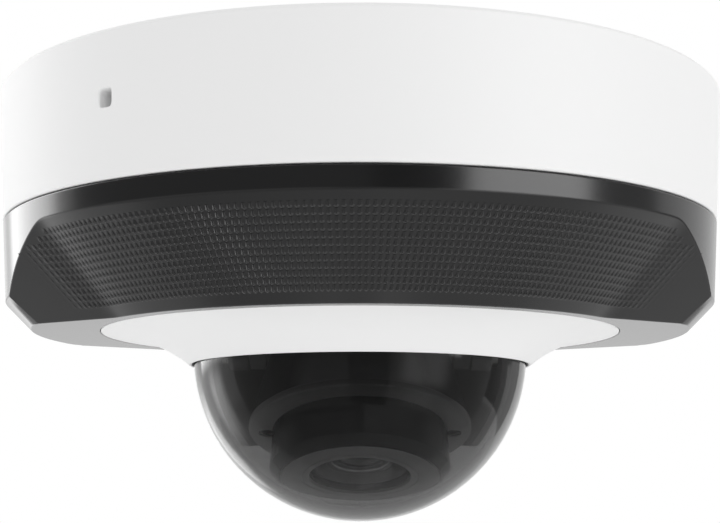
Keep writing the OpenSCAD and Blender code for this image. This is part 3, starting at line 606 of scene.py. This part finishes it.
zinc = finish("zinc plated steel", (0.62, 0.62, 0.6), 0.3, 1.0, cloud=220, mottling=0.12, grain=4000,
              relief=0.004, wear=0.5, worn=0.85, rounding=0.08, uneven=0.1)
coat(zinc, "housing_screws", "collar_screws", "board_screws", "chassis_screws", "sensor_screws",
     "face_screws", "tilt_pins")


# ---- collar --------------------------------------------------------------------------------
# The white collar is turned-looking moulded ABS, like the cover. Its flange sits in the housing's
# pocket, and its curved face sweeps down to a thin rim round the bubble.

collar_low, collar_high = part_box("collar")
rim_z, collar_top = collar_low.z / mm, collar_high.z / mm
bubble_low, bubble_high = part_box("dome_bubble")
flange_r = bubble_high.x / mm
dome_r = flange_r - 3
dome_z = bubble_low.z / mm + dome_r
collar_bore, clamp_bore = dome_r + 0.3, flange_r + 0.15
shoulder_z = dome_z + 0.3
rim_w, sweep_steps = 0.35, 40
reach, drop = collar_r - collar_bore - rim_w, bottom_z - rim_z
arc_r = (reach ** 2 + drop ** 2) / (2 * drop)
outline = [(collar_bore, rim_z, 0.1), (collar_bore + rim_w, rim_z, 0.14)]
for i in range(1, sweep_steps):
    out = collar_bore + rim_w + reach * i / sweep_steps
    outline.append((out, bottom_z - arc_r + math.sqrt(arc_r ** 2 - (collar_r - out) ** 2)))
outline += [(collar_r, bottom_z, 0.1), (collar_r, collar_top, 0.15), (clamp_bore, collar_top, 0.15),
            (clamp_bore, shoulder_z, 0.05), (collar_bore, shoulder_z, 0.1)]
collar = turned("collar_ring", outline, 288)
pilots = [peg(pilot_r, bottom_z + 0.5, collar_top + 1, x, y) for x, y in collar_screw_places]
worked(collar, pilots, "DIFFERENCE")
dressed(collar, white_abs, "collar")


# ---- bubble --------------------------------------------------------------------------------
# The bubble is injection moulded polycarbonate, lightly smoked through and through, with a clamped
# flange. Inside and out it is polished like glass.

# the wall is a little thicker than the moulded one: it sets the width of the band along its edge
look_in = dome_r - 1.96
flange_low = dome_z + 0.9
flange_high = bubble_high.z / mm
dome_angles = [math.radians(1.5 * i) for i in range(61)]
outline = [(dome_r * math.sin(a), dome_z - dome_r * math.cos(a)) for a in dome_angles]
outline += [(dome_r, flange_low - 0.02), (flange_r, flange_low, 0.1), (flange_r, flange_high, 0.2),
            (look_in, flange_high, 0.2)]
outline += [(look_in * math.cos(a), dome_z - look_in * math.sin(a)) for a in dome_angles]
bubble = turned("smoked_bubble", outline, 240)
smoke = finish("smoked polycarbonate", (1, 1, 1), 0.02, cloud=70, mottling=0, grain=260, relief=0.0015,
               rounding=0, uneven=0, IOR=1.49, Transmission_Weight=1.0,
               Specular_Tint=(0.42, 0.42, 0.42, 1))
nodes, links = smoke.node_tree.nodes, smoke.node_tree.links
tinted = nodes.new("ShaderNodeVolumeAbsorption")
tinted.inputs["Color"].default_value = (0, 0, 0, 1)
tinted.inputs["Density"].default_value = 500
links.new(tinted.outputs[0], nodes["Material Output"].inputs["Volume"])
dressed(bubble, smoke, "dome_bubble")


# ---- clamp ring, pan cradle, tilt cradle ---------------------------------------------------
# Matt moulded nylon. The clamp ring, the module's cap and the lens mount are black, and so are the two
# cradles, which show through the smoked bubble; they are given a lighter charcoal grey as painted light, in
# place of the light the bubble keeps from them.

dark_nylon = finish("black nylon, matt", (0.05, 0.05, 0.051), 0.5, cloud=70, mottling=0.2, grain=1700,
                    relief=0.008, wear=0.2, worn=0.05, uneven=0.08, IOR=1.5)
coat(dark_nylon, "dome_clamp_ring", "module_cap", "lens_mount")
# painted light: the cradles' grey is lighter than their black nylon, for light the bubble keeps off
liner_nylon = finish("cradle nylon, matt, painted light", (0.42, 0.42, 0.422), 0.5, cloud=70, mottling=0.08, grain=1700,
                     relief=0.008, wear=0.2, worn=0.15, uneven=0.08, IOR=1.5)
coat(liner_nylon, "pan_cradle", "tilt_cradle")


# ---- boards and what sits on them ----------------------------------------------------------
# Green solder-masked glass-fibre boards with black epoxy chips, an ivory header, plated steel
# sockets and shields, and a black rubber-booted microphone.

def board_finish():
    """Solder mask over copper tracks: the tracks show lighter."""
    material = finish("green solder mask", (0.01, 0.09, 0.035), 0.28, cloud=50, mottling=0.15, grain=2500,
                      relief=0.004, wear=0.4, worn=0.25, rounding=0.1)
    nodes, links = material.node_tree.nodes, material.node_tree.links
    place = next(n for n in nodes if n.bl_idname == "ShaderNodeTexCoord")
    tracks = nodes.new("ShaderNodeTexBrick")
    tracks.inputs["Scale"].default_value = 160
    tracks.inputs["Mortar Size"].default_value = 0.06
    tracks.inputs["Color1"].default_value = (0.010, 0.085, 0.033, 1)
    tracks.inputs["Color2"].default_value = (0.012, 0.105, 0.04, 1)
    tracks.inputs["Mortar"].default_value = (0.03, 0.2, 0.08, 1)
    links.new(place.outputs["Object"], tracks.inputs["Vector"])
    tint = next(n for n in nodes if n.bl_idname == "ShaderNodeMix")
    links.new(tracks.outputs["Color"], tint.inputs[6])
    return material


coat(board_finish(), "main_board", "sensor_board", "lamp_board")
epoxy = finish("black epoxy", (0.018, 0.018, 0.02), 0.45, cloud=120, mottling=0.2, grain=3500, relief=0.006,
               wear=0.3, worn=0.08, rounding=0.1)
coat(epoxy, "board_chips", "image_sensor", "reset_button")
ivory = finish("ivory nylon", (0.72, 0.68, 0.55), 0.45, cloud=150, mottling=0.05, grain=2400, relief=0.006,
               wear=0.2, worn=0.8, rounding=0.12)
coat(ivory, "cable_header", "ir_lamps")
tinned = finish("tinned steel", (0.58, 0.58, 0.57), 0.34, 1.0, cloud=160, mottling=0.1, grain=3200,
                relief=0.004, wear=0.4, worn=0.8, rounding=0.08, uneven=0.1)
coat(tinned, "card_slot", "reset_switch", "microphone", "pan_clip")


# ---- chassis, heat sink and washer ---------------------------------------------------------
# Die-cast aluminium, shot blasted and dyed dark grey inside the housing, and a white acetal washer
# between the chassis and the pan ring.

cast_metal = finish("cast aluminium", (0.16, 0.16, 0.165), 0.48, 1.0, cloud=60, mottling=0.12, grain=2200,
                    relief=0.012, wear=0.5, worn=0.45, rounding=0.12, uneven=0.1)
coat(cast_metal, "chassis", "heat_sink")
acetal = finish("white acetal", (0.7, 0.7, 0.69), 0.38, cloud=120, mottling=0.03, grain=2000, relief=0.004)
coat(acetal, "pan_washer")


# ---- lens module: cup, lamp face and lamps -------------------------------------------------
# Black moulded nylon. The cup flares from its neck to the lamp face, a thin charcoal disc with a
# window on each side, where the infrared lamps shine out through dark red filters.

def painted_shade_fade(material, measure, start, end, shade):
    """Paints shade into a finish: fades its colour to a darker grey between two values of a node's output.
    """
    nodes, links = material.node_tree.nodes, material.node_tree.links
    ramp = nodes.new("ShaderNodeMapRange")
    ramp.interpolation_type = "SMOOTHSTEP"
    ramp.inputs["From Min"].default_value = start
    ramp.inputs["From Max"].default_value = end
    links.new(measure, ramp.inputs["Value"])
    blend = nodes.new("ShaderNodeMix")
    blend.data_type = "RGBA"
    base = nodes["Principled BSDF"].inputs["Base Color"]
    links.new(ramp.outputs["Result"], blend.inputs[0])
    links.new(base.links[0].from_socket, blend.inputs[6])
    blend.inputs[7].default_value = (shade, shade, shade, 1)
    links.new(blend.outputs[2], base)


tilt = math.radians(-22.5)
optic = Matrix.Translation((0, 0, dome_z * mm)) @ Matrix.Rotation(tilt, 4, "X")
shroud_r, shroud_wall, face_r = 12.9, 1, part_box("lamp_face")[1].x / mm
pan_ring_w, liner_wall, face_gap, front_gap, dome_wall = 4, 1.1, 0.93, 0.64, 1.6
liner_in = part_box("pan_cradle")[1].x / mm - pan_ring_w - liner_wall
face_a = math.sqrt((liner_in - face_gap) ** 2 - face_r ** 2)
cup_a = face_a - 1
neck_r, waist_r, cup_in, neck_top, neck_end = 12.6, 13.7, 11.2, 7.3, -1.2
lamp_x, lamp_way, lamp_bore, screw_y, face_bore = 13.7, 1.25, 15.0, 10.4, 7.7
lamp_board_a = cup_a - 2
front_r = shroud_r - 1.3
front_a = math.sqrt((dome_r - dome_wall - front_gap) ** 2 - front_r ** 2)
cup = turned("lens_cup", [
    (cup_in, neck_top), (neck_r, neck_top, 0.2), (neck_r, neck_end, 0.2), (waist_r, neck_end, 0.3),
    (face_r - 0.15, -cup_a, 0.15), (lamp_bore, -cup_a), (lamp_bore, -lamp_board_a),
    (waist_r, -lamp_board_a), (cup_in, -2.6),
], 192, optic)
black_nylon = finish("cup nylon, satin, painted light and shade", (0.31, 0.31, 0.312), 0.4, cloud=60, mottling=0.15, grain=1500,
                     relief=0.0015, wear=0.25, worn=0.06, uneven=0.06, IOR=1.5, Specular_IOR_Level=0.2)
# painted light and shade: the cup's grey is lighter than black nylon, and it is painted darker toward its
# edges as seen, so it changes from view to view
painted_edge_shade = black_nylon.node_tree.nodes.new("ShaderNodeLayerWeight")
painted_shade_fade(black_nylon, painted_edge_shade.outputs["Facing"], 0.32, 0.46, 0.05)
dressed(cup, black_nylon, "module_cup", "module")
face = turned("lamp_face_disc", [
    (face_bore, -cup_a), (face_r, -cup_a, 0.1), (face_r, -face_a, 0.25), (face_bore, -face_a, 0.1),
], 192, optic)
holes = [peg(lamp_way, -face_a - 1, -cup_a + 1, x, 0, place=optic) for x in (-lamp_x, lamp_x)]
holes += [peg(0.95, -face_a - 1, -cup_a + 1, 0, y, place=optic) for y in (-screw_y, screw_y)]
worked(face, holes, "DIFFERENCE")
face_nylon = finish("charcoal nylon, satin", (0.55, 0.55, 0.552), 0.3, cloud=60, mottling=0.1, grain=1500,
                    relief=0.006, wear=0.3, worn=0.12, uneven=0.06, IOR=1.5)
# painted shade: the disc's colour darkens toward its highest part, where the shroud shades it
place = face_nylon.node_tree.nodes.new("ShaderNodeTexCoord")
spot = face_nylon.node_tree.nodes.new("ShaderNodeSeparateXYZ")
face_nylon.node_tree.links.new(place.outputs["Object"], spot.inputs[0])
painted_shade_fade(face_nylon, spot.outputs[2], (dome_z - 10) * mm, (dome_z - 5.5) * mm, 0.2)
dressed(face, face_nylon, "lamp_face", "module")
red_filter = finish("dark red filter", (0.02, 0.004, 0.004), 0.12, cloud=300, mottling=0.2, grain=3000,
                    relief=0.002, IOR=1.55)
coat(red_filter, "lamp_windows")


# ---- lens shroud, bezel and lens -----------------------------------------------------------
# The shroud is a black tube with a chamfered mouth, and a grey bezel with one fine groove is glued
# into it. Behind them the lens barrel holds a ring and the coated front glass.

recess_r = 7.3
bezel_r = front_r - 0.3
bezel_t, lip_t = 0.5, 1.4
shroud = turned("lens_shroud_tube", [
    (shroud_r - shroud_wall, -face_a), (shroud_r, -face_a, 0.1), (shroud_r, -front_a + 1.3, 0.25),
    (front_r, -front_a, 0.2), (bezel_r, -front_a, 0.05), (bezel_r, -front_a + bezel_t),
    (recess_r, -front_a + bezel_t, 0.15), (recess_r, -front_a + lip_t, 0.1),
    (shroud_r - shroud_wall, -front_a + lip_t),
], 192, optic)
shroud_nylon = finish("black nylon, fine satin", (0.06, 0.06, 0.061), 0.2, cloud=60, mottling=0.15,
                      grain=1500, relief=0.004, wear=0.25, worn=0.04, uneven=0.05, IOR=1.5)
dressed(shroud, shroud_nylon, "lens_shroud", "module")
groove_r, groove_half, groove_z = recess_r + 1, 0.12, -front_a + 0.2
bezel = turned("lens_bezel_ring", [
    (recess_r, -front_a + bezel_t), (recess_r, -front_a, 0.12), (groove_r - groove_half, -front_a, 0.05),
    (groove_r - groove_half, groove_z), (groove_r + groove_half, groove_z),
    (groove_r + groove_half, -front_a, 0.05), (bezel_r - 0.05, -front_a, 0.08),
    (bezel_r - 0.05, -front_a + bezel_t),
], 192, optic)
bezel_grey = finish("grey anodised bezel", (0.7, 0.7, 0.705), 0.38, cloud=80, mottling=0.06, grain=2600,
                    relief=0.004, wear=0.3, worn=0.3, rounding=0.08, uneven=0.05)
dressed(bezel, bezel_grey, "lens_bezel", "module")
head_r, head_a = recess_r - 0.4, front_a - lip_t
ring_in, ring_t, glass_bore, barrel_in, thread_r = 4.1, 0.6, 4.95, 3.6, 6.0
seat_h, board_gap, sensor_board_t = 1.7, 7.8, 1
seat_a, ring_seat = head_a - seat_h, ring_in + 0.85 + 0.4
mount_a = lamp_board_a - board_gap + sensor_board_t
mount_front = lamp_board_a + 0.6
barrel_back, neck_a = -mount_a - 2.5, -mount_front - 0.6
barrel = turned("lens_barrel_tube", [
    (barrel_in, barrel_back), (thread_r, barrel_back, 0.1), (thread_r, neck_a, 0.1), (head_r, neck_a, 0.1),
    (head_r, -head_a, 0.25), (head_r - 0.5, -head_a, 0.15), (ring_seat, -seat_a - ring_t, 0.12),
    (ring_seat, -seat_a), (glass_bore, -seat_a), (glass_bore, -seat_a + seat_h),
    (barrel_in, -seat_a + seat_h),
], 160, optic)
anodised = finish("grey anodised aluminium", (0.3, 0.3, 0.302), 0.32, cloud=90, mottling=0.15, grain=2400,
                  relief=0.004, wear=0.3, worn=0.1, rounding=0.08, IOR=1.5)
dressed(barrel, anodised, "lens_barrel", "module")
lens_ring = turned("lens_retaining_ring", [
    (ring_in, -seat_a), (ring_seat - 0.05, -seat_a), (ring_seat - 0.05, -seat_a - ring_t, 0.12),
    (ring_in, -seat_a - ring_t, 0.2),
], 160, optic)
bare_metal = finish("bright aluminium", (0.75, 0.75, 0.75), 0.22, 1.0, cloud=200, mottling=0.05, grain=3000,
                    relief=0.002, rounding=0.06)
dressed(lens_ring, bare_metal, "lens_ring", "module")
crown = head_a - 0.6
glass_r, crown_r, curve_r, glass_back = 4.9, 4.05, 8.5, -seat_a + 1.5
outline = [(0, glass_back), (glass_r, glass_back, 0.1), (glass_r, -seat_a, 0.1), (crown_r, -seat_a - 0.01)]
for i in range(17):
    out = crown_r * (1 - i / 16)
    outline.append((out, -crown + curve_r - math.sqrt(curve_r ** 2 - out ** 2)))
glass = turned("front_glass", outline, 160, optic)
coated = finish("coated lens glass", (0.012, 0.013, 0.016), 0.05, cloud=200, mottling=0.1, grain=2500,
                relief=0.0004, uneven=0.02, rounding=0.02, IOR=1.7, Coat_Weight=0.6, Coat_Roughness=0.03)
dressed(glass, coated, "front_lens", "module")
coat(coated, "rear_lens")
filter_glass = finish("infrared cut filter", (0.05, 0.015, 0.02), 0.1, cloud=250, mottling=0.15, grain=3000,
                      relief=0.001, IOR=1.52)
coat(filter_glass, "ir_filter")


# ---- studio --------------------------------------------------------------------------------
# The dome camera hangs in a white room over a plain pale floor, with two soft lamps. Twenty curved
# cards stand round it, unseen: dark ones in front and below, bright ones at the right and behind.
# They shape what its glossy plastic mirrors, and six in front also shade what the bubble holds.

def card(name, turn_from, turn_to, low, high, distance, strength, soft=0.0, foot=None, shades=False):
    """A card between two angles round the dome camera and two elevations, in degrees, at a distance."""
    steps = 24
    mesh = bpy.data.meshes.new(name)
    points, faces = [], []
    for i in range(steps + 1):
        turn = math.radians(turn_from + (turn_to - turn_from) * i / steps)
        for j in range(steps + 1):
            lift = math.radians(low + (high - low) * j / steps)
            out = distance * math.cos(lift)
            height = dome_z * mm + distance * math.sin(lift)
            points.append((out * math.sin(turn), -out * math.cos(turn), height))
    n = steps + 1
    for i in range(steps):
        for j in range(steps):
            faces.append((i * n + j, i * n + j + 1, (i + 1) * n + j + 1, (i + 1) * n + j))
    mesh.from_pydata(points, [], faces)
    unrolled = mesh.uv_layers.new(name="unrolled")
    for loop in mesh.loops:
        unrolled.data[loop.index].uv = (loop.vertex_index // n / steps, loop.vertex_index % n / steps)
    piece = placed(name, mesh)
    look = bpy.data.materials.new(name)
    look.use_nodes = True
    nodes, links = look.node_tree.nodes, look.node_tree.links
    nodes.remove(nodes["Principled BSDF"])
    place = nodes.new("ShaderNodeTexCoord")
    parts = nodes.new("ShaderNodeSeparateXYZ")
    links.new(place.outputs["UV"], parts.inputs[0])
    # its strength runs from the foot of the card to the top
    level = nodes.new("ShaderNodeMapRange")
    level.inputs["To Min"].default_value = strength if foot is None else foot
    level.inputs["To Max"].default_value = strength
    links.new(parts.outputs[1], level.inputs["Value"])
    glow = nodes.new("ShaderNodeEmission")
    links.new(level.outputs["Result"], glow.inputs["Strength"])
    lit = glow.outputs[0]
    if soft:
        masks = []
        for axis in (0, 1):
            tent = nodes.new("ShaderNodeMath")
            tent.operation = "PINGPONG"
            tent.inputs[1].default_value = 0.5
            links.new(parts.outputs[axis], tent.inputs[0])
            ramp = nodes.new("ShaderNodeMapRange")
            ramp.interpolation_type = "SMOOTHSTEP"
            ramp.inputs["From Max"].default_value = soft
            links.new(tent.outputs[0], ramp.inputs["Value"])
            masks.append(ramp.outputs["Result"])
        mask = nodes.new("ShaderNodeMath")
        mask.operation = "MULTIPLY"
        links.new(masks[0], mask.inputs[0])
        links.new(masks[1], mask.inputs[1])
        clear = nodes.new("ShaderNodeBsdfTransparent")
        blend = nodes.new("ShaderNodeMixShader")
        links.new(mask.outputs[0], blend.inputs[0])
        links.new(clear.outputs[0], blend.inputs[1])
        links.new(lit, blend.inputs[2])
        lit = blend.outputs[0]
    links.new(lit, nodes["Material Output"].inputs["Surface"])
    mesh.materials.append(look)
    piece.visible_camera = False
    piece.visible_diffuse = False
    piece.visible_transmission = shades
    piece.visible_shadow = False
    return piece


card("high_left_flag", -95, 4, -2, 60, 0.95, 0.2, shades=True)
card("high_middle_flag", 4, 30, -2, 60, 0.95, 0.02, shades=True)
card("high_right_flag", 30, 100, -2, 60, 0.95, 0.3, shades=True)
card("left_flag", -95, -8, -38, -2, 0.95, 0.5, shades=True)
card("middle_flag", -8, 20, -38, -2, 0.95, 0.32, shades=True)
card("right_flag", 20, 100, -38, -2, 0.95, 0.65, shades=True)
card("low_left_flag", -95, 4, -74, -38, 0.58, 0.3, foot=0.6)
card("low_right_flag", 4, 100, -74, -38, 0.58, 0.62)
card("under_card", -20, 20, -90, -74, 0.6, 0.64)
card("under_left_card", -180, -20, -90, -74, 0.6, 0.85)
card("under_right_card", 20, 180, -90, -74, 0.6, 1.1)
card("soft_box", 30, 72, -5, 46, 0.9, 4.4, soft=0.06)
card("soft_box_skirt", 22, 68, -26, 2, 0.88, 2.0, soft=0.3)
card("soft_box_foot", 24, 66, -42, -20, 0.86, 1.1, soft=0.4)
card("rim_card", -142, -102, -3, 46, 0.9, 4.6, soft=0.12)
card("rim_skirt", -132, -106, -36, 2, 0.88, 3.4, soft=0.35, foot=1.3)
card("bevel_card", -163, -141, -30, 1, 0.95, 2.1, soft=0.3)
card("band_card", -180, -146, 3, 18, 0.95, 1.5, soft=0.2)
card("grey_card", 100, 141, -18, 4, 0.95, 0.28)
card("right_rim_low", 124, 160, -48, -16, 0.6, 0.85, soft=0.25)


def soft_lamp(name, place, aim, size, watts):
    """A soft square lamp that lights but isn't mirrored."""
    data = bpy.data.lights.new(name, "AREA")
    data.shape, data.size, data.energy = "SQUARE", size, watts
    lamp = placed(name, data)
    lamp.location = place
    lamp.rotation_euler = (Vector(aim) - Vector(place)).to_track_quat("-Z", "Y").to_euler()
    lamp.visible_glossy = False
    lamp.visible_transmission = False


soft_lamp("right_lamp", (1.15, -0.42, 0.1), (0, 0, -0.03), 0.7, 1.8)
soft_lamp("under_lamp", (0, -0.1, -0.62), (0, 0, -0.03), 0.9, 1.35)

world = bpy.data.worlds.new("white room")
world.use_nodes = True
bpy.context.scene.world = world
nodes, links = world.node_tree.nodes, world.node_tree.links
room = nodes["Background"]
room.inputs["Color"].default_value = (1, 1, 1, 1)
path = nodes.new("ShaderNodeLightPath")
seen = path.outputs["Is Camera Ray"]
for ray in ("Is Glossy Ray", "Is Transmission Ray"):
    either = nodes.new("ShaderNodeMath")
    either.operation = "MAXIMUM"
    links.new(seen, either.inputs[0])
    links.new(path.outputs[ray], either.inputs[1])
    seen = either.outputs[0]
light_level, white_level = 0.88, 1.0
level = nodes.new("ShaderNodeMapRange")
level.inputs["To Min"].default_value = light_level
level.inputs["To Max"].default_value = white_level
links.new(seen, level.inputs["Value"])
links.new(level.outputs["Result"], room.inputs["Strength"])

floor_half, floor_z = 1.6, -0.65
corners = [(x * floor_half, y * floor_half, floor_z) for x, y in ((-1, -1), (1, -1), (1, 1), (-1, 1))]
floor_mesh = bpy.data.meshes.new("floor")
floor_mesh.from_pydata(corners, [], [(0, 1, 2, 3)])
floor = placed("floor", floor_mesh)
pale = finish("pale floor", (0.85, 0.85, 0.85), 0.7, cloud=3, mottling=0.01, grain=60, relief=0.2,
              rounding=0.1)
floor_mesh.materials.append(pale)

lens = bpy.data.cameras.new("camera")
lens.lens, lens.sensor_width = 76, 36
camera = placed("camera", lens)
camera.location = (0, -0.2329, -0.0581)
camera.rotation_euler = (math.radians(98.36), 0, 0)
lens.clip_start = 0.01
bpy.context.scene.camera = camera
bpy.context.scene.view_settings.view_transform = "Standard"
